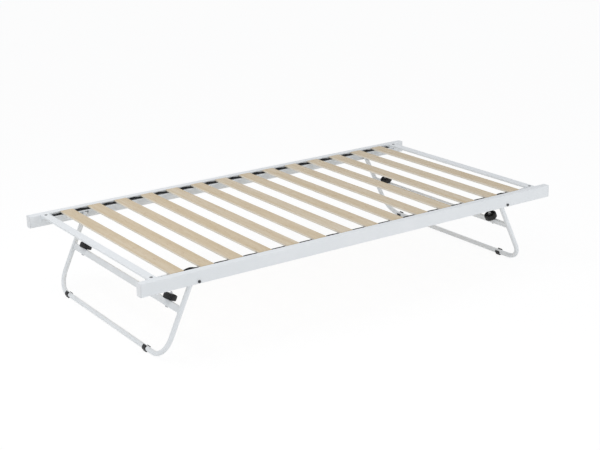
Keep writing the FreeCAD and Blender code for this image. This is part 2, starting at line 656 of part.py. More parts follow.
def make_foot_clip(label, at_x, at_y, inset):
    """A springy saddle on the foot tube: its mouth opens up the leg, along which it is pushed
    on, and its sole lies flat on the floor when the leg is open."""
    foot_x = f"({PIVOT_X} + {LEG_DROP} * sin(leg_tilt))"
    outer = "tube_diameter / 2 + clip_wall"
    mouth = "clip_mouth / 2"
    shell = turn(cylinder(f"2 * ({outer})", "clip_width"), Vector(1, 0, 0), -90)
    place(shell, y="-clip_width / 2")
    rise = "sqrt((tube_diameter / 2 + clip_wall / 2) ^ 2 - (clip_mouth / 2) ^ 2)"
    lips = []
    for hand in (-1, 1):
        lip = turn(cylinder("2 * clip_lip", "clip_width"), Vector(1, 0, 0), -90)
        lips.append(place(lip, f"{hand} * ({mouth} + clip_lip)", "-clip_width / 2", rise))
    gap = block("clip_mouth", "2 * clip_width", "tube_diameter", "0", "0", "0")
    saddle = turn(subtract(fuse(shell, *lips), gap), Vector(0, -at_x, 0), size("leg_tilt"))
    sole = block("clip_sole", "clip_width", outer, "0", "0", f"-({outer})")
    bore = turn(cylinder("tube_diameter + 2 * clip_fit", "2 * clip_width"), Vector(1, 0, 0), -90)
    place(bore, y="-clip_width")
    clip = subtract(fuse(saddle, sole), bore)
    place(clip, f"{at_x} * {foot_x}", f"{at_y} * ({LEG_Y} - {inset})", outer)
    node(clip, f"foot_clip_{label}")


for side, at_y in SIDES:
    make_side_rail(side, at_y)
    make_slat_ledge(side, at_y)
    make_strap(side, at_y)
for label, at_x, at_y in CORNERS:
    make_rail_cap(label, at_x, at_y)
for end, at_x in ENDS:
    make_cross_rail(end, at_x)
make_cross_rail_fasteners()

SLATS = range(int(size("slat_count")))
for number in SLATS:
    make_slat(number)
group("strap_staples", [make_staple(slat_x(number), f"{at_y} * {STRAP_Y}") for number in SLATS for side, at_y in SIDES])
group("strap_rivets", [make_rivet(f"{at_x} * {RIVET_X}", f"{at_y} * {STRAP_Y}") for label, at_x, at_y in CORNERS])

for end, at_x in ENDS:
    make_leg_tube(end, at_x)
    make_wheel_bar(end, at_x)
    group(f"leg_plugs_{end}", [make_leg_plug(at_x, at_y) for side, at_y in SIDES])
    make_axles(end, at_x)
group("leg_stops", [make_leg_stop(at_x, at_y) for label, at_x, at_y in CORNERS])
make_pivots()
for label, at_x, at_y in CORNERS:
    make_wheel(label, at_x, at_y)
    make_foot_clip(label, at_x, at_y, "clip_inset_front" if at_y == FRONT else "clip_inset_rear")

doc.recompute()
for thing in doc.Objects:
    if {"Invalid", "Error"} & set(thing.State):
        raise RuntimeError(f"{thing.Label} failed: {thing.State}")
for thing in nodes:
    if thing.Shape.isNull() or not thing.Shape.isValid() or not thing.Shape.Solids:
        raise RuntimeError(f"{thing.Label} has no valid solid")

os.makedirs("parts", exist_ok=True)
for thing in nodes:
    thing.Shape.exportStep(f"parts/{thing.Label}.step")
print(len(nodes), "nodes written")
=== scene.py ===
"""A folding trundle bed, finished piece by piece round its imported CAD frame.

White powder-coated steel rails and folding legs, pale laminated slats on black webbing, and
small black wheels. The frame's axes are +X along the bed towards the foot end, +Y towards the
rear rail and +Z up from the floor. Meshes are in metres, and sizes in a section are in mm.
"""

import json
import math

import bpy
import numpy as np
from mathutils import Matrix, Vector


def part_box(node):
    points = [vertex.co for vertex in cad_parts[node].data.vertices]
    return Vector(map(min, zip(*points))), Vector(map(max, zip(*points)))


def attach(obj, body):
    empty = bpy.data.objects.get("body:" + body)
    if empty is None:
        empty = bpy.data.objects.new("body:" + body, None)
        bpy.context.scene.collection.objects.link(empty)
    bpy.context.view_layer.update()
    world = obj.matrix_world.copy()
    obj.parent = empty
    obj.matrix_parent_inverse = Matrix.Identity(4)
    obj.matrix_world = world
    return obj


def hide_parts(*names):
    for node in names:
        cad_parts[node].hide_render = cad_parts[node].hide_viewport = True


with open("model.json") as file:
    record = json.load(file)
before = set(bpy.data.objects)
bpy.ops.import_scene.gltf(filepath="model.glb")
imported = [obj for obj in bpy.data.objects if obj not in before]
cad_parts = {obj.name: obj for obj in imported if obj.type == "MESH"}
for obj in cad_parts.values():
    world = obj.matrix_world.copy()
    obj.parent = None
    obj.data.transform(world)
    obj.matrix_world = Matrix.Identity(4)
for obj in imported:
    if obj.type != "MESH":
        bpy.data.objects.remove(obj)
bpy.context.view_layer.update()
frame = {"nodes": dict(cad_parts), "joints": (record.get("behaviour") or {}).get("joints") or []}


# ------------------------------------------------------------------ studio
# A plain white sweep of floor, an even white sky and three soft lamps. The floor is the only
# thing that is drawn brighter for the camera than it really is, so that it reads as paper
# white and still takes the bed's shadow.

def linear(code):
    """An sRGB hex colour as linear RGBA: ((c + 0.055) / 1.055) ** 2.4 for each channel, or
    c / 12.92 where it is dark."""
    channels = np.array([int(code[k:k + 2], 16) for k in (0, 2, 4)]) / 255
    bright = ((channels + 0.055) / 1.055) ** 2.4
    return (*np.where(channels > 0.04045, bright, channels / 12.92).tolist(), 1.0)


def add_node(tree, kind, values=None, links=None, **settings):
    """Add a shader node: settings are its properties, values fill its input sockets, and
    links joins an input socket to an output socket of an earlier node."""
    made = tree.nodes.new(kind)
    for name, value in settings.items():
        setattr(made, name, value)
    for socket, value in (values or {}).items():
        made.inputs[socket].default_value = value
    for socket, source in (links or {}).items():
        tree.links.new(source, made.inputs[socket])
    return made


def new_material(name):
    """An empty material and its node tree."""
    material = bpy.data.materials.new(name)
    material.use_nodes = True
    material.node_tree.nodes.clear()
    return material, material.node_tree


def seen_directly(tree):
    """1 for rays from the camera or by way of a mirror or glass, 0 for scattered light."""
    path = add_node(tree, "ShaderNodeLightPath")
    mirrored = add_node(tree, "ShaderNodeMath", operation="MAXIMUM", links={
        0: path.outputs["Is Camera Ray"], 1: path.outputs["Is Glossy Ray"]})
    return add_node(tree, "ShaderNodeMath", operation="MAXIMUM", links={
        0: mirrored.outputs[0], 1: path.outputs["Is Transmission Ray"]}).outputs[0]


FLOOR_REACH = 60.0       # metres each way
FLOOR_TONE = 0.96        # what the floor throws back on the bed
FLOOR_SHOWN = 0.16       # the part of its look that shadows can darken
FLOOR_LIFT = 0.88        # the part that they can't

floor_material, tree = new_material("studio_floor_paper")
direct = seen_directly(tree)
tone = add_node(tree, "ShaderNodeMapRange", links={"Value": direct},
                values={"To Min": FLOOR_TONE, "To Max": FLOOR_SHOWN})
matt = add_node(tree, "ShaderNodeBsdfDiffuse", links={"Color": tone.outputs[0]})
lift = add_node(tree, "ShaderNodeMath", operation="MULTIPLY", values={1: FLOOR_LIFT},
                links={0: direct})
glow = add_node(tree, "ShaderNodeEmission", links={"Strength": lift.outputs[0]})
both = add_node(tree, "ShaderNodeAddShader", links={0: matt.outputs[0], 1: glow.outputs[0]})
add_node(tree, "ShaderNodeOutputMaterial", links={"Surface": both.outputs[0]})

floor_corners = np.array([(-1, -1, 0), (1, -1, 0), (1, 1, 0), (-1, 1, 0)]) * FLOOR_REACH
floor_mesh = bpy.data.meshes.new("studio_floor")
floor_mesh.from_pydata(floor_corners.tolist(), [], [(0, 1, 2, 3)])
floor_mesh.materials.append(floor_material)
floor = bpy.data.objects.new("studio_floor", floor_mesh)
bpy.context.scene.collection.objects.link(floor)

SKY_LIGHT = 0.59         # what the sky throws on the bed
SKY_SHOWN = 1.0          # how bright it is to look at
world = bpy.data.worlds.new("studio_sky")
bpy.context.scene.world = world
world.use_nodes = True
tree = world.node_tree
tree.nodes.clear()
strength = add_node(tree, "ShaderNodeMapRange", links={"Value": seen_directly(tree)},
                    values={"To Min": SKY_LIGHT, "To Max": SKY_SHOWN})
sky = add_node(tree, "ShaderNodeBackground", values={"Color": linear("FBFCFF")},
               links={"Strength": strength.outputs[0]})
add_node(tree, "ShaderNodeOutputWorld", links={"Surface": sky.outputs[0]})


def soft_lamp(name, place, size, watts, aim=(0, 0, 0.25)):
    """A square area lamp at a place, turned to face aim. All lengths are metres."""
    lamp = bpy.data.lights.new(name, "AREA")
    lamp.size = size
    lamp.energy = watts
    holder = bpy.data.objects.new(name, lamp)
    bpy.context.scene.collection.objects.link(holder)
    holder.location = place
    away = holder.location - type(holder.location)(aim)
    holder.rotation_euler = away.to_track_quat("Z", "Y").to_euler()


soft_lamp("lamp_above", (-1.3, 0.1, 2.3), size=1.6, watts=14, aim=(-0.7, 0, 0.3))
soft_lamp("lamp_left", (-4.0, -0.8, 0.8), size=2.4, watts=12)
soft_lamp("lamp_front", (1.0, -4.2, 1.1), size=2.4, watts=36)

# The camera stands off the near left corner with a long lens, level but for a small roll.
EYE = (-2.717, -4.055, 1.820)
YAW, PITCH, ROLL = map(math.radians, (31.616, 18.282, -2.034))
FOCAL_LENGTH, SENSOR_WIDTH = 74.66, 36.0
LENS_SHIFT = (0.089, 0.009)
CLIP_END = 200.0         # metres, past the far edge of the floor
camera_data = bpy.data.cameras.new("camera")
camera_data.lens = FOCAL_LENGTH
camera_data.sensor_width = SENSOR_WIDTH
camera_data.shift_x, camera_data.shift_y = LENS_SHIFT
camera_data.clip_end = CLIP_END
camera = bpy.data.objects.new("camera", camera_data)
bpy.context.scene.collection.objects.link(camera)
forward = np.array([math.sin(YAW) * math.cos(PITCH), math.cos(YAW) * math.cos(PITCH),
                    -math.sin(PITCH)])
level_right = np.array([math.cos(YAW), -math.sin(YAW), 0])
level_up = np.cross(level_right, forward)
right = level_right * math.cos(ROLL) + level_up * math.sin(ROLL)
up = level_up * math.cos(ROLL) - level_right * math.sin(ROLL)
pose = np.eye(4)
pose[:3] = np.stack([right, up, -forward, EYE], 1)
camera.matrix_world = pose.T.tolist()
bpy.context.scene.camera = camera
bpy.context.scene.view_settings.view_transform = "Standard"


# ------------------------------------------------------------------ side rails
# Two 50 by 30 mm steel tubes, powder-coated. A cap of moulded white plastic is pressed into
# each end on a spigot, and a fine shadow gap shows between its plate and the tube.

MM = 0.001
ENDS = (("head", -1), ("foot", 1))
SIDES = (("front", -1), ("rear", 1))

# A colour mix node's sockets by number: its factor, its two colours and what comes out.
FACTOR, FIRST, SECOND, MIXED = 0, 6, 7, 2


def grain(tree, scale, stretch=(1, 1, 1), detail=3.0, roughness=0.55):
    """A cloudy pattern in object space from 0 to 1. Its scale is in cycles a metre, and stretch
    multiplies that along each axis, so a small part draws the pattern out that way."""
    place = add_node(tree, "ShaderNodeTexCoord")
    spread = add_node(tree, "ShaderNodeMapping", values={"Scale": stretch},
                      links={"Vector": place.outputs["Object"]})
    cloud = add_node(tree, "ShaderNodeTexNoise", links={"Vector": spread.outputs[0]},
                     values={"Scale": scale, "Detail": detail, "Roughness": roughness})
    return add_node(tree, "ShaderNodeMapRange", values={"From Min": 0.3, "From Max": 0.7},
                    links={"Value": cloud.outputs["Fac"]}).outputs[0]


CLOUDS = 9.0             # cycles a metre of the slow change of tone in every coated finish
GLOSS_SWING = 0.03       # how far the roughness follows it


def coated(name, first, second, roughness, peel, depth, metallic=0.0, specular=0.5):
    """An opaque finish: two close tones in broad clouds, a roughness that follows them, and
    a relief of the given depth (m) whose grain is peel mm across."""
    material, tree = new_material(name)
    clouds = grain(tree, CLOUDS)
    tone = add_node(tree, "ShaderNodeMix", data_type="RGBA", links={FACTOR: clouds},
                    values={FIRST: linear(first), SECOND: linear(second)})
    gloss = add_node(tree, "ShaderNodeMapRange", links={"Value": clouds},
                     values={"To Min": roughness - GLOSS_SWING, "To Max": roughness + GLOSS_SWING})
    relief = add_node(tree, "ShaderNodeBump", values={"Distance": depth},
                      links={"Height": grain(tree, 1000 / peel, detail=2.0)})
    shader = add_node(tree, "ShaderNodeBsdfPrincipled",
                      values={"Metallic": metallic, "Specular IOR Level": specular},
                      links={"Base Color": tone.outputs[MIXED], "Roughness": gloss.outputs[0],
                             "Normal": relief.outputs[0]})
    add_node(tree, "ShaderNodeOutputMaterial", links={"Surface": shader.outputs[0]})
    return material


def dress(material, slot_name, *names):
    """Give CAD nodes their material."""
    for name in names:
        node = frame["nodes"][name]
        node.data.materials.clear()
        node.data.materials.append(material)


def corners(name):
    """The lowest and highest corners of a CAD node in mm, to the nearest micron."""
    return np.round(np.array(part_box(name)) / MM, 3)


def skin(rows, closed=False):
    """Points, quads and caps over rows of points, (rows, count, 3), each row a closed loop.
    Point j of row i joins its neighbours in the loop and in the rows beside it. The first and
    last rows are capped with one flat face each, or joined to one another when closed."""
    height, count = rows.shape[:2]
    number = np.arange(height * count).reshape(height, count)
    last = height if closed else height - 1
    here = number[:last]
    there = np.roll(number, -1, 0)[:last]
    quads = np.stack([here, np.roll(here, -1, 1), np.roll(there, -1, 1), there], 2)
    caps = np.stack([number[0, ::-1], number[-1]])[:0 if closed else 2]
    return rows.reshape(-1, 3), quads.reshape(-1, 4), caps


def enclosed_volume(points, quads):
    """Six times the signed volume between the origin and the quads: the sum over each quad
    of a . (b x c) + a . (c x d)."""
    a, b, c, d = points[quads].transpose(1, 0, 2)
    return np.sum(np.cross(a, b) * c) + np.sum(np.cross(a, c) * d)


def piece(name, skins, material, body="bed_frame", stands_for=(), sharp=35):
    """One mesh object from several skins, its faces turned outwards, in the given material,
    riding a body and standing for the CAD nodes that it replaces. Edges that
    turn by more than sharp degrees stay crisp."""
    points, faces, offset = [], [], 0
    for skin_points, quads, caps in skins:
        way = -1 if enclosed_volume(skin_points, quads) < 0 else 1
        points.append(skin_points)
        faces += (quads[:, ::way] + offset).tolist() + (caps[:, ::way] + offset).tolist()
        offset += len(skin_points)
    mesh = bpy.data.meshes.new(name)
    mesh.from_pydata(np.concatenate(points).tolist(), [], faces)
    mesh.shade_smooth()
    mesh.set_sharp_from_angle(angle=math.radians(sharp))
    mesh.materials.append(material)
    made = bpy.data.objects.new(name, mesh)
    bpy.context.scene.collection.objects.link(made)
    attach(made, body)
    if stands_for:
        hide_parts(*stands_for)
    return made


def rounded_loop(width, height, radius, steps=6):
    """Points once round a rectangle with round corners: a quarter circle of the radius about
    each corner's centre, (w / 2 - r, h / 2 - r) and its mirrors. Sizes that are columns give
    one loop a row."""
    quarter = np.repeat(np.arange(4), steps)
    angle = np.tile(np.linspace(0, math.pi / 2, steps), 4) + quarter * math.pi / 2
    across = np.array([1, -1, -1, 1])[quarter] * (width / 2 - radius)
    up = np.array([1, 1, -1, -1])[quarter] * (height / 2 - radius)
    return across + radius * np.cos(angle), up + radius * np.sin(angle)


RAIL_CORNER = 3.0        # outside corner radius of the tube
CAP_PLATE = 3.0          # thickness of a cap's plate
CAP_EDGE = 0.8           # rounding of the plate's edge
rail_low, rail_high = corners("side_rail_rear")
rail_size, rail_middle = rail_high - rail_low, (rail_low + rail_high) / 2
rail_end, rail_inner, rail_outer = rail_high[0], rail_low[1], rail_high[1]


def rail_cap(at_x, at_y):
    """A cap on a rail's end: a spigot 18 mm long, a neck that leaves a shadow gap 0.9 mm wide,
    then the plate, its edge a quarter circle. Each row is the rail's outline drawn in by some
    millimetres at a distance past the rail's end."""
    turn = np.linspace(0.2, math.pi / 2, 6)
    edge = np.stack([CAP_PLATE - CAP_EDGE + CAP_EDGE * np.sin(turn),
                     CAP_EDGE * (1 - np.cos(turn))], 1)
    stations = np.array([(-18.0, 1.8), (-17.4, 1.6), (-0.3, 1.6), (-0.3, 1.2), (0.9, 1.2),
                         (0.9, 0.25), (1.1, 0.0), (CAP_PLATE - CAP_EDGE, 0.0), *edge])
    distance, inset = stations.T[:, :, None]
    y, z = rounded_loop(rail_size[1] - 2 * inset, rail_size[2] - 2 * inset,
                        np.maximum(RAIL_CORNER - inset, 1.0))
    rows = np.broadcast_arrays(at_x * (rail_end + distance), at_y * rail_middle[1] + y,
                               rail_middle[2] + z)
    return skin(np.stack(rows, -1) * MM)


# Powder coat: very slightly cool white, satin, its orange peel about 1.6 mm across.
powder_coat = coated("powder_coat_satin_white", "EEF1F3", "EAEEF0", 0.38, 1.6, 0.00002)
# Caps and plugs: the same white straight from the mould, a little duller and finer-grained.
moulded_white = coated("moulded_white_plastic", "EDEFF0", "E9ECEE", 0.46, 0.5, 0.000012)

dress(powder_coat, "white_powder_coat", "side_rail_front", "side_rail_rear")
for end, at_x in ENDS:
    for side, at_y in SIDES:
        piece(f"moulded_rail_cap_{end}_{side}", [rail_cap(at_x, at_y)], moulded_white,
              stands_for=(f"rail_cap_{end}_{side}",))


# ------------------------------------------------------------------ slat ledges
# A steel angle along the inside of each rail, coated with it. Its flat flange carries the
# slats, and its upright one is stitch-welded to the rail along the lower edge.

STITCH_COUNT, STITCH_PITCH, STITCH_LENGTH = 13, 139.0, 26.0
FIRST_STITCH = -840.0
STITCH_RADIUS = 1.7
STITCH_INSET, STITCH_BELOW = 0.9, 0.5    # its middle, from the rail's wall and the ledge's edge
PUDDLE = 1.5             # spacing of the ripples in a weld bead


def circle(count):
    """Angles evenly once round."""
    return np.arange(count) * (2 * math.pi / count)


def bead(path, radius, closed=False):
    """A weld bead: circles square to a path of points (mm), whose radius swells by a tenth
    with each puddle, r (1 + 0.1 cos(2 pi s / puddle)). An open bead tapers to its ends as
    the root of the distance from them."""
    ahead = np.roll(path, -1, 0) - np.roll(path, 1, 0)
    if not closed:
        ahead[0], ahead[-1] = path[1] - path[0], path[-1] - path[-2]
    ahead /= np.linalg.norm(ahead, axis=1)[:, None]
    steps = np.linalg.norm(np.diff(path, axis=0), axis=1)
    along = np.concatenate([[0], np.cumsum(steps)])
    guide = np.array([0.17, 0.31, 0.94]) if closed else np.array([0.0, 0.6, 0.8])
    side = np.cross(ahead, guide)
    side /= np.linalg.norm(side, axis=1)[:, None]
    other = np.cross(ahead, side)
    swell = radius * (1 + 0.1 * np.cos(2 * math.pi * along / PUDDLE))
    if not closed:
        from_end = np.minimum(along, along[-1] - along)
        swell *= np.sqrt(np.clip(from_end / (1.5 * radius), 0.02, 1))
    angle = circle(12)[None, :, None]
    ring = np.cos(angle) * side[:, None] + np.sin(angle) * other[:, None]
    return skin((path[:, None] + swell[:, None, None] * ring) * MM, closed)


dress(powder_coat, "white_powder_coat", "slat_ledge_front", "slat_ledge_rear")
ledge_foot = corners("slat_ledge_rear")[0][2]
stitches = []
for side, at_y in SIDES:
    for start in FIRST_STITCH + STITCH_PITCH * np.arange(STITCH_COUNT):
        run = np.linspace(start, start + STITCH_LENGTH, 90)
        line = np.broadcast_arrays(run, at_y * (rail_inner - STITCH_INSET),
                                   ledge_foot - STITCH_BELOW)
        stitches.append(bead(np.stack(line, 1), STITCH_RADIUS))
piece("ledge_weld_beads", stitches, powder_coat)


# ------------------------------------------------------------------ cross rails
# A flat coated tube near each end lies on the ledges. A black domed M6 bolt goes down through
# each end of it and the ledge, with a zinc-plated washer and nut underneath.

FLATS = 10.0             # across the flats of every M6 head and nut
OUTSIDE = 9.0            # a radius past their corners, which hexagon() brings in
NUT_HEIGHT = 5.0
WASHER = 1.5
SHANK = 3.0              # bolt radius
FIT = 0.02               # a plain shank is under it and a nut's bore over it by this much
THREAD_PITCH = 1.0
BOLT_END = 2.5           # how far a bolt stands out of its nut
BOLT_Y = 450.0           # middle of the ledge's flat flange
CROSS_NUT_TURN = 0.3     # radians, as the nuts were tightened


def turned(outline, count=48, shape=None, closed=False):
    """A surface of revolution about Z from (radius, height) pairs in mm: (r cos a, r sin a, z),
    where shape(a, r, z) may change r."""
    angle = circle(count)[None]
    radius, height = np.array(outline, float).T[:, :, None]
    reach = radius if shape is None else shape(angle, radius, height)
    rows = np.broadcast_arrays(reach * np.cos(angle), reach * np.sin(angle), height)
    return skin(np.stack(rows, -1) * MM, closed)


def stood(made, origin, axis, spin=0.0):
    """A skin moved so that its own Z runs along axis from origin (metres), turned by spin."""
    points, *faces = made
    upright = np.asarray(axis, float) / np.linalg.norm(axis)
    first = np.cross(upright, (0, 1, 0) if abs(upright[1]) < 0.9 else (1, 0, 0))
    first /= np.linalg.norm(first)
    second = np.cross(upright, first)
    basis = np.stack([math.cos(spin) * first + math.sin(spin) * second,
                      math.cos(spin) * second - math.sin(spin) * first, upright])
    return points @ basis + np.asarray(origin, float), *faces


def hexagon(low, high):
    """The radius of a hexagon bar chamfered at both ends: the lesser of the hexagon,
    f / (2 cos(a mod 60 - 30)), and 30 degree cones, 0.475 f + 1.73 s at a height s inside
    either end. Radii under 0.4 f, in a dish or bore, stay as they are."""
    def shape(angle, radius, height):
        flat = FLATS / 2 / np.cos((angle % (math.pi / 3)) - math.pi / 6)
        cone = FLATS * 0.475 + np.minimum(height - low, high - height) * 1.73
        return np.where(radius > FLATS * 0.4, np.minimum(flat, cone), radius)
    return shape


def nut():
    """A hexagon nut standing on its own XY plane, chamfered on both faces, with a bore."""
    levels = [0, 0.25, 0.5, 0.9, 1.5]
    levels += [NUT_HEIGHT - level for level in reversed(levels)]
    bore = [(SHANK + 0.5, NUT_HEIGHT), (SHANK + FIT, NUT_HEIGHT - 0.5),
            (SHANK + FIT, 0.5), (SHANK + 0.5, 0)]
    sides = [(OUTSIDE, level) for level in levels]
    return turned(sides + bore, 72, hexagon(0, NUT_HEIGHT), closed=True)


def bolt_end():
    """The end of an M6 shank past a nut on its own XY plane. The thread's radius is
    r - 0.55 pitch |2 p - 1|, where p is the fraction of height / pitch - angle / turn, and
    the tip is a small chamfer."""
    def threaded(angle, radius, height):
        phase = (height / THREAD_PITCH - angle / (2 * math.pi)) % 1
        return np.where(radius == SHANK, SHANK - 0.55 * THREAD_PITCH * np.abs(2 * phase - 1), radius)

    tip = NUT_HEIGHT + BOLT_END
    outline = [(SHANK, height) for height in np.linspace(NUT_HEIGHT, tip, 21)]
    return turned(outline + [(SHANK - 0.7, tip + 0.01)], shape=threaded)


# Black oxide on the bolts that show: a thin dark grey skin, dull, with the steel's own glint.
black_oxide = coated("black_oxide_steel", "4A4B4E", "3C3D40", 0.42, 0.4, 0.000008, metallic=0.6)
# Bright zinc on nuts, washers, sleeves and staples: a clean cool metal, a little clouded.
zinc_plate = coated("bright_zinc_plate", "C9CACC", "B4B6B9", 0.30, 0.6, 0.000006, metallic=1.0)

dress(powder_coat, "white_powder_coat", "cross_rail_head", "cross_rail_foot")
dress(black_oxide, "black_fastener", "cross_rail_bolts")
dress(zinc_plate, "zinc_fastener", "cross_rail_washers")
bolt_x = corners("cross_rail_foot")[:, 0].mean()
washer_foot = corners("cross_rail_washers")[0][2]
cross_nuts = []
for end, at_x in ENDS:
    for side, at_y in SIDES:
        spot = np.array([at_x * bolt_x, at_y * BOLT_Y, washer_foot]) * MM
        cross_nuts.append(stood(nut(), spot, (0, 0, -1), CROSS_NUT_TURN * at_x))
        cross_nuts.append(stood(bolt_end(), spot, (0, 0, -1)))
piece("cross_rail_hex_nuts", cross_nuts, zinc_plate, stands_for=("cross_rail_nuts",))


# ------------------------------------------------------------------ slats
# Fourteen flat slats of pale laminated birch, 56 by 8 mm, planed and lacquered. Each has
# rounded long edges and ends, and faint glue lines along its sides.

SLAT_COUNT = 14
slat_names = [f"slat_{number:02d}" for number in range(1, SLAT_COUNT + 1)]
SLAT_PLIES = 5
ARRIS = 2.0              # rounding of the long edges
ARRIS_STEPS = 7          # points on each
END_ROUND = 2.0          # rounding of the ends
GROOVE_HALF, GROOVE_DEPTH = 0.16, 0.12    # a glue line's half width and its depth


def slat_section(width, height):
    """The outline of a slat across its grain: a rectangle with round arrises, and in both
    sides a V groove at each glue line that the arrises leave. Points (x, z) once round."""
    x, z = rounded_loop(width, height, ARRIS, ARRIS_STEPS)
    glue = (np.arange(1, SLAT_PLIES) / SLAT_PLIES - 0.5) * height
    glue = glue[np.abs(glue) < height / 2 - ARRIS]
    groove_z = (glue[:, None] + (-GROOVE_HALF, 0, GROOVE_HALF)).ravel()
    groove_x = np.tile([width / 2, width / 2 - GROOVE_DEPTH, width / 2], len(glue))
    top = 2 * ARRIS_STEPS
    return np.stack([np.concatenate([x[:top], -groove_x[::-1], x[top:], groove_x]),
                     np.concatenate([z[:top], groove_z[::-1], z[top:], groove_z])], 1)


def slat_skin(low, high):
    """A slat between two corners (mm). Its section is drawn in at each end by
    r - sqrt(r^2 - (r - s)^2) on every side, at a distance s under r from the end."""
    width, length, height = high - low
    section = slat_section(width, height)
    middle = (low + high) / 2
    from_end = END_ROUND * (1 - np.cos(np.linspace(0, math.pi / 2, 6)))
    between = np.linspace(low[1] + END_ROUND, high[1] - END_ROUND, 40)[1:-1]
    y = np.concatenate([low[1] + from_end, between, high[1] - from_end[::-1]])[:, None]
    short = np.maximum(END_ROUND - np.minimum(y - low[1], high[1] - y), 0)
    drawn = END_ROUND - np.sqrt(np.maximum(END_ROUND ** 2 - short ** 2, 0))
    rows = np.broadcast_arrays(middle[0] + section[:, 0] * (1 - 2 * drawn / width), y,
                               middle[2] + section[:, 1] * (1 - 2 * drawn / height))
    return skin(np.stack(rows, -1) * MM)


def paint_faces(made, name, values):
    """Store a number on every face of a piece, from an array or one value for all."""
    attribute = made.data.attributes.new(name, "FLOAT", "FACE")
    count = len(made.data.polygons)
    attribute.data.foreach_set("value", np.broadcast_to(values, count).astype(np.float32))


def sideways(made):
    """How far each face of a piece looks along X: the square of its normal's part there."""
    normals = np.empty(3 * len(made.data.polygons), np.float32)
    made.data.polygons.foreach_get("normal", normals)
    return normals.reshape(-1, 3)[:, 0] ** 2


# Birch: a ground whose tone differs from slat to slat, figure about 16 mm wide, fibres about
# 1 mm wide and 60 mm long, and a few short darker flecks. Faces that look along X, the sides,
# are painted paler: partly the paler sawn wood, partly painted light falling across them.
slat_birch, tree = new_material("slat_birch_lacquered")
slat_tone = add_node(tree, "ShaderNodeAttribute", attribute_name="slat_tone").outputs["Fac"]
# The side mask: partly the paler sawn wood, partly painted light on the sides.
slat_edge = add_node(tree, "ShaderNodeAttribute", attribute_name="slat_edge").outputs["Fac"]
fibre = grain(tree, 900.0, (1, 0.018, 1), roughness=0.7)
figure = grain(tree, 62.0, (1, 0.05, 1), detail=4.0)
fleck = add_node(tree, "ShaderNodeMapRange",
                 values={"From Min": 0.86, "From Max": 1.0, "To Max": 0.5},
                 links={"Value": grain(tree, 420.0, (1, 0.06, 1), detail=1.0)})
ground = add_node(tree, "ShaderNodeMix", data_type="RGBA", links={FACTOR: slat_tone},
                  values={FIRST: linear("E3D8C3"), SECOND: linear("DFD0B5")})
figured = add_node(tree, "ShaderNodeMix", data_type="RGBA", values={SECOND: linear("D6C4A2")},
                   links={FACTOR: figure, FIRST: ground.outputs[MIXED]})
fibred = add_node(tree, "ShaderNodeMix", data_type="RGBA", blend_type="MULTIPLY",
                  values={SECOND: linear("EDE5DA")},
                  links={FACTOR: fibre, FIRST: figured.outputs[MIXED]})
flecked = add_node(tree, "ShaderNodeMix", data_type="RGBA", blend_type="MULTIPLY",
                   values={SECOND: linear("C9A878")},
                   links={FACTOR: fleck.outputs[0], FIRST: fibred.outputs[MIXED]})
# Mixes in a paler colour on the sides: partly the sawn wood's own tone, partly painted light.
sawn_and_lit_side_tone = add_node(tree, "ShaderNodeMix", data_type="RGBA", values={SECOND: linear("EFE9DD")},
                links={FACTOR: slat_edge, FIRST: flecked.outputs[MIXED]})
relief = add_node(tree, "ShaderNodeBump", values={"Distance": 0.00004}, links={"Height": fibre})
shader = add_node(tree, "ShaderNodeBsdfPrincipled", values={"Roughness": 0.48}, links={
    "Base Color": sawn_and_lit_side_tone.outputs[MIXED], "Normal": relief.outputs[0]})
add_node(tree, "ShaderNodeOutputMaterial", links={"Surface": shader.outputs[0]})

# How much paler the sides are painted: partly sawn wood, partly painted light.
SIDE_PALENESS_AND_PAINTED_LIGHT = 0.85
tones = dict(zip(slat_names, np.random.default_rng(7).uniform(0, 1, SLAT_COUNT)))
tones["slat_04"] = 1.0   # the yellowest
slat_boxes = {name: corners(name) for name in slat_names}
for name in slat_names:
    made = piece(f"laminated_{name}", [slat_skin(*slat_boxes[name])], slat_birch,
                 stands_for=(name,), sharp=50)
    paint_faces(made, "slat_tone", tones[name])
    # Paints the sides paler by how far each face looks along X: partly sawn wood, partly painted
    # light.
    paint_faces(made, "slat_edge", SIDE_PALENESS_AND_PAINTED_LIGHT * sideways(made))


# ------------------------------------------------------------------ webbing
# Black polypropylene webbing, 25 by 1.2 mm, stapled under the slat ends and riveted to the
# ledges. It lies flat under each slat and stands up a little where it is slack between them.
# The front strap's ends are trimmed narrower at the rivets.

RIB_PITCH = 2.0
RIB_DEPTH = 0.12         # from the mean to a crest or a hollow
RIB_REACH = 12.0         # how near the edges the ribs run
TRIM_START, TRIM_RUN = 20.0, 8.0         # from the middle of the end slats
FRONT_TRIM, REAR_TRIM = 7.0, 0.0
strap_low, strap_high = corners("slat_strap_rear")
strap_size, strap_middle = strap_high - strap_low, (strap_low + strap_high) / 2
slat_sides = np.array(list(slat_boxes.values()))[:, :, 0]
last_slat = slat_sides[-1].mean()


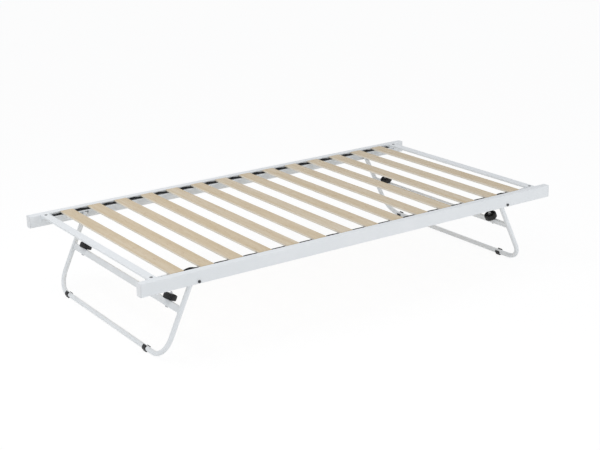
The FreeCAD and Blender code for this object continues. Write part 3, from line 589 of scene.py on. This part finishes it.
def webbing(at_y, slack, trim):
    """A strap along X: between one slat and the next it rises by slack sin^2(pi t). Each face
    carries chevron ribs, depth cos(2 pi (x + |y|) / pitch), and the edges are thinned by the
    curve sqrt(1 - 0.75 y^8). Past the end slats its inner edge draws in by trim mm, as the
    smoothstep t^2 (3 - 2 t)."""
    x = np.arange(strap_low[0], strap_high[0] + 0.5, 1.0)[:, None]
    left, right = slat_sides[:-1, 1], slat_sides[1:, 0]
    rise = np.sin(math.pi * np.clip((x - left) / (right - left), 0, 1)) ** 2 @ slack
    across = np.linspace(-1, 1, 15)
    half = strap_size[2] / 2 * np.sqrt(1 - np.abs(across) ** 8 * 0.75)
    y = np.concatenate([across, across[::-1]]) * strap_size[1] / 2
    z = np.concatenate([half, -half[::-1]])
    ribs = RIB_DEPTH * np.cos(2 * math.pi * (x + np.abs(y)) / RIB_PITCH) * (np.abs(y) < RIB_REACH)
    t = np.clip((np.abs(x) - last_slat - TRIM_START) / TRIM_RUN, 0, 1)
    drawn = trim * t * t * (3 - 2 * t)
    rows = np.broadcast_arrays(
        x,
        at_y * (strap_middle[1] + drawn / 2) + y * (1 - drawn / strap_size[1]),
        strap_middle[2] + rise[:, None] + z - np.sign(z) * (RIB_DEPTH + ribs))
    return skin(np.stack(rows, -1) * MM)


# Webbing: near-black yarn, dull with a slight sheen across the ribs.
web_black = coated("webbing_black_polypropylene", "151618", "0F1011", 0.80, 0.7, 0.00006,
                   specular=0.12)

# The front strap stands up most in its first and last gaps, and the rear one is slacker
# all along. Rises in mm.
slacks = np.random.default_rng(11).uniform(0.2, 1.4, (2, SLAT_COUNT - 1))
slacks[0, 0], slacks[0, -1] = 5.5, 3.0
slacks[1] += 2.6
dress(black_oxide, "black_fastener", "strap_rivets")
dress(zinc_plate, "zinc_fastener", "strap_staples")
for (side, at_y), slack, trim in zip(SIDES, slacks, (FRONT_TRIM, REAR_TRIM)):
    piece(f"woven_strap_{side}", [webbing(at_y, slack, trim)], web_black,
          stands_for=(f"slat_strap_{side}",))


# ------------------------------------------------------------------ legs
# One U of 19 mm tube at each end, powder-coated with its wheel bar, which is welded between
# the shanks. Domed white plugs close the tops, and welded tabs on the ledges stop the legs.

JOINTS = {joint["name"]: joint for joint in frame["joints"]}
PIVOT = np.abs(np.array(JOINTS["foot_leg_fold"]["pos_m"])) / MM
TILT = math.radians(25.5)
LEG_Y = 447.5            # middle of a shank
TUBE_RADIUS = 9.5
BAR_DROP, BAR_HEIGHT, BAR_WIDTH = 124.5, 25.0, 10.0
BAR_CORNER = 2.0
BAR_BEAD_RADIUS = 1.5
BAR_BEAD_OUT, BAR_BEAD_IN = 0.3, 0.4     # its middle, off the bar's faces and off the shank


def on_leg(at_x, points):
    """Points (inward, across, up) in mm from the pivot's middle, in the leg's tilted frame,
    turned into the bed's frame: X = s (P - n cos t - u sin t), Z = Q - n sin t + u cos t."""
    inward, across, up = np.moveaxis(np.asarray(points, float), -1, 0)
    x = at_x * (PIVOT[0] - inward * math.cos(TILT) - up * math.sin(TILT))
    z = PIVOT[2] - inward * math.sin(TILT) + up * math.cos(TILT)
    return np.stack([x, across, z], -1)


def bar_weld(at_x, at_y):
    """The bead where the wheel bar meets a shank: evenly round the bar's section, a rectangle
    with rounded corners, on the shank's wall at y = LEG_Y - sqrt(R^2 - n^2)."""
    n, u = rounded_loop(BAR_WIDTH + 2 * BAR_BEAD_OUT, BAR_HEIGHT + 2 * BAR_BEAD_OUT,
                        BAR_CORNER + BAR_BEAD_OUT, 8)
    loop = np.stack([np.append(n, n[0]), np.append(u, u[0])], 1)
    steps = np.concatenate([[0], np.cumsum(np.linalg.norm(np.diff(loop, axis=0), axis=1))])
    even = np.linspace(0, steps[-1], 220, endpoint=False)
    n, u = (np.interp(even, steps, loop[:, k]) for k in (0, 1))
    reach = LEG_Y - np.sqrt(TUBE_RADIUS ** 2 - n ** 2) - BAR_BEAD_IN
    path = on_leg(at_x, np.stack([n, at_y * reach, u - BAR_DROP], 1))
    return bead(path, BAR_BEAD_RADIUS, closed=True)


dress(powder_coat, "white_powder_coat", "leg_stops")
for end, at_x in ENDS:
    dress(powder_coat, "white_powder_coat", f"leg_tube_{end}", f"wheel_bar_{end}")
    dress(moulded_white, "white_plastic", f"leg_plugs_{end}")
    piece(f"wheel_bar_welds_{end}", [bar_weld(at_x, at_y) for side, at_y in SIDES], powder_coat,
          body=f"{end}_leg")


# ------------------------------------------------------------------ pivots
# An M6 bolt in black oxide goes in through each rail and shank, with a spacer between the two.
# A zinc-plated washer and nut hold the shank on it from inside.

HEAD_HEIGHT = 4.0
LEG_PLAY = 0.3           # shank to washer
PIVOT_HEAD_TURN, PIVOT_NUT_TURN = 0.4, 0.7    # radians, as they were tightened


def bolt_head():
    """A hexagon head standing on its own XY plane, square below, chamfered above, with a
    shallow dish in its top."""
    levels = [0, 0.25, 0.6, 1.2, 2.8, 3.2, 3.5, 3.75, HEAD_HEIGHT]
    dish = [(3.6, HEAD_HEIGHT), (3.0, HEAD_HEIGHT - 0.35), (0.4, HEAD_HEIGHT - 0.4)]
    return turned([(OUTSIDE, level) for level in levels] + dish, 72, hexagon(-0.6, HEAD_HEIGHT))


def shank(low, high):
    """The plain part of an M6 bolt along its own Z, between two heights."""
    return turned([(SHANK - FIT, low), (SHANK - FIT, high)], 40)


dress(zinc_plate, "zinc_fastener", "pivot_spacers", "pivot_washers")
nut_seat = LEG_Y - TUBE_RADIUS - LEG_PLAY - WASHER
pivot_bolts, pivot_nuts = [], []
for end, at_x in ENDS:
    for side, at_y in SIDES:
        outer = np.array([at_x * PIVOT[0], at_y * rail_outer, PIVOT[2]]) * MM
        inner = np.array([at_x * PIVOT[0], at_y * nut_seat, PIVOT[2]]) * MM
        through = shank(nut_seat - NUT_HEIGHT - rail_outer, 0.2)
        pivot_bolts.append(stood(bolt_head(), outer, (0, at_y, 0), PIVOT_HEAD_TURN * at_x))
        pivot_bolts.append(stood(through, outer, (0, at_y, 0), PIVOT_HEAD_TURN * at_x))
        pivot_bolts.append(stood(bolt_end(), inner, (0, -at_y, 0)))
        pivot_nuts.append(stood(nut(), inner, (0, -at_y, 0), PIVOT_NUT_TURN * at_x))
piece("pivot_hex_bolts", pivot_bolts, black_oxide, stands_for=("pivot_bolts",))
piece("pivot_hex_nuts", pivot_nuts, zinc_plate, stands_for=("pivot_nuts",))


# ------------------------------------------------------------------ wheels
# Four moulded nylon wheels, 51 by 20 mm, with a fluted tread and a ribbed web. Each turns on
# a sleeve clamped to the top of the wheel bar by a bolt from below and a nut above.

WHEEL_RADIUS, WHEEL_HALF = 25.5, 10.0
TREAD_EDGE = 3.0         # rounding of the tread's edges
FLUTES, FLUTE_DEPTH = 40, 0.25
HUB_RADIUS, RIM_RADIUS, BORE_RADIUS = 9.0, 20.5, 5.08
WHEEL_RIBS = 6
WHEEL_INSET = 95.5       # shank's middle to wheel's middle
SLEEVE_LENGTH = 20.6
AXLE_HEAD_TURN, AXLE_NUT_TURN = 0.5, 0.9


def wheel_body():
    """Hub, web, rim and tread as one turned ring on its own Z axis. The tread's flat middle
    has the radius R - depth (1 - cos(flutes a)) / 2."""
    turn = np.linspace(0, math.pi / 2, 8)
    tread = np.stack([WHEEL_RADIUS - TREAD_EDGE + TREAD_EDGE * np.sin(turn),
                      WHEEL_HALF - TREAD_EDGE + TREAD_EDGE * np.cos(turn)], 1)
    face = np.array([(BORE_RADIUS, WHEEL_HALF - 0.5), (BORE_RADIUS + 0.5, WHEEL_HALF),
                     (HUB_RADIUS - 0.6, WHEEL_HALF), (HUB_RADIUS, WHEEL_HALF - 0.6),
                     (HUB_RADIUS + 0.3, 4.0), (HUB_RADIUS + 1.3, 3.0),
                     (RIM_RADIUS - 1.3, 3.0), (RIM_RADIUS - 0.3, 4.0),
                     (RIM_RADIUS, WHEEL_HALF - 0.6), (RIM_RADIUS + 0.6, WHEEL_HALF), *tread])

    def fluted(angle, radius, height):
        depth = np.where(radius > WHEEL_RADIUS - 0.01, FLUTE_DEPTH, 0.0)
        return radius - depth * (1 - np.cos(FLUTES * angle)) / 2

    return turned(np.concatenate([face, face[::-1] * (1, -1)]), 240, fluted, closed=True)


def wheel_rib(face_side, turn):
    """A rib from hub to rim on one face of the wheel, turned about Z: its section, a bar with
    rounded top edges, is carried outwards and is wider where it joins the hub and the rim."""
    distance = np.array([HUB_RADIUS - 0.5, HUB_RADIUS + 1,
                         RIM_RADIUS - 1, RIM_RADIUS + 0.5])[:, None]
    half = np.array([1.5, 1.25, 1.25, 1.5])[:, None]
    drawn_in = np.array([0, 0, 0.25, 0.6, 0.6, 0.25, 0, 0])
    height = face_side * np.array([2.6, 7.4, 7.85, 8.0, 8.0, 7.85, 7.4, 2.6])
    rib_side = np.repeat([1, -1], 4)
    rows = np.broadcast_arrays(distance, rib_side * (half - drawn_in), height)
    points, *faces = skin(np.stack(rows, -1) * MM)
    spin = np.array([[math.cos(turn), math.sin(turn), 0],
                     [-math.sin(turn), math.cos(turn), 0],
                     [0, 0, 1]])
    return points @ spin, *faces


# Nylon: near-black and dull satin, with the fine grain of its mould.
wheel_nylon = coated("moulded_black_nylon", "17181A", "121314", 0.50, 0.5, 0.00003, specular=0.35)

dress(zinc_plate, "zinc_fastener", "axle_washers_head", "axle_washers_foot",
      "axle_sleeves_head", "axle_sleeves_foot")
wheel_skins = [wheel_body()]
for face_side in (-1, 1):
    wheel_skins += [wheel_rib(face_side, turn) for turn in circle(WHEEL_RIBS)]
bar_under = BAR_DROP + BAR_HEIGHT / 2
axle_nut_seat = BAR_DROP - BAR_HEIGHT / 2 - 2 * WASHER - SLEEVE_LENGTH
for end, at_x in ENDS:
    leg_up = on_leg(at_x, (0, 0, 1)) - on_leg(at_x, (0, 0, 0))
    axle_bolts, axle_nuts = [], []
    for side, at_y in SIDES:
        joint = JOINTS[f"wheel_{end}_{side}_spin"]
        piece(f"moulded_wheel_{end}_{side}",
              [stood(part, joint["pos_m"], joint["axis"]) for part in wheel_skins],
              wheel_nylon, body=joint["child"],
              stands_for=(f"wheel_{end}_{side}",), sharp=40)
        wheel_y = at_y * (LEG_Y - WHEEL_INSET)
        under = on_leg(at_x, (0, wheel_y, -bar_under)) * MM
        above = on_leg(at_x, (0, wheel_y, -axle_nut_seat)) * MM
        through = shank(-0.2, bar_under - axle_nut_seat + NUT_HEIGHT)
        axle_bolts.append(stood(bolt_head(), under, -leg_up, AXLE_HEAD_TURN))
        axle_bolts.append(stood(through, under, leg_up))
        axle_bolts.append(stood(bolt_end(), above, leg_up))
        axle_nuts.append(stood(nut(), above, leg_up, AXLE_NUT_TURN + at_y))
    piece(f"axle_hex_bolts_{end}", axle_bolts, zinc_plate, body=f"{end}_leg",
          stands_for=(f"axle_bolts_{end}",))
    piece(f"axle_hex_nuts_{end}", axle_nuts, zinc_plate, body=f"{end}_leg",
          stands_for=(f"axle_nuts_{end}",))


# ------------------------------------------------------------------ foot clips
# Black polypropylene clips snapped on the foot tubes, two to a leg, with flat soles on which
# the bed stands. Smoother than the wheels, with a slight shine.

clip_black = coated("moulded_black_polypropylene", "151617", "101112", 0.45, 0.4, 0.00001,
                    specular=0.35)
dress(clip_black, "clip_plastic", "foot_clip_head_front", "foot_clip_head_rear",
      "foot_clip_foot_front", "foot_clip_foot_rear")
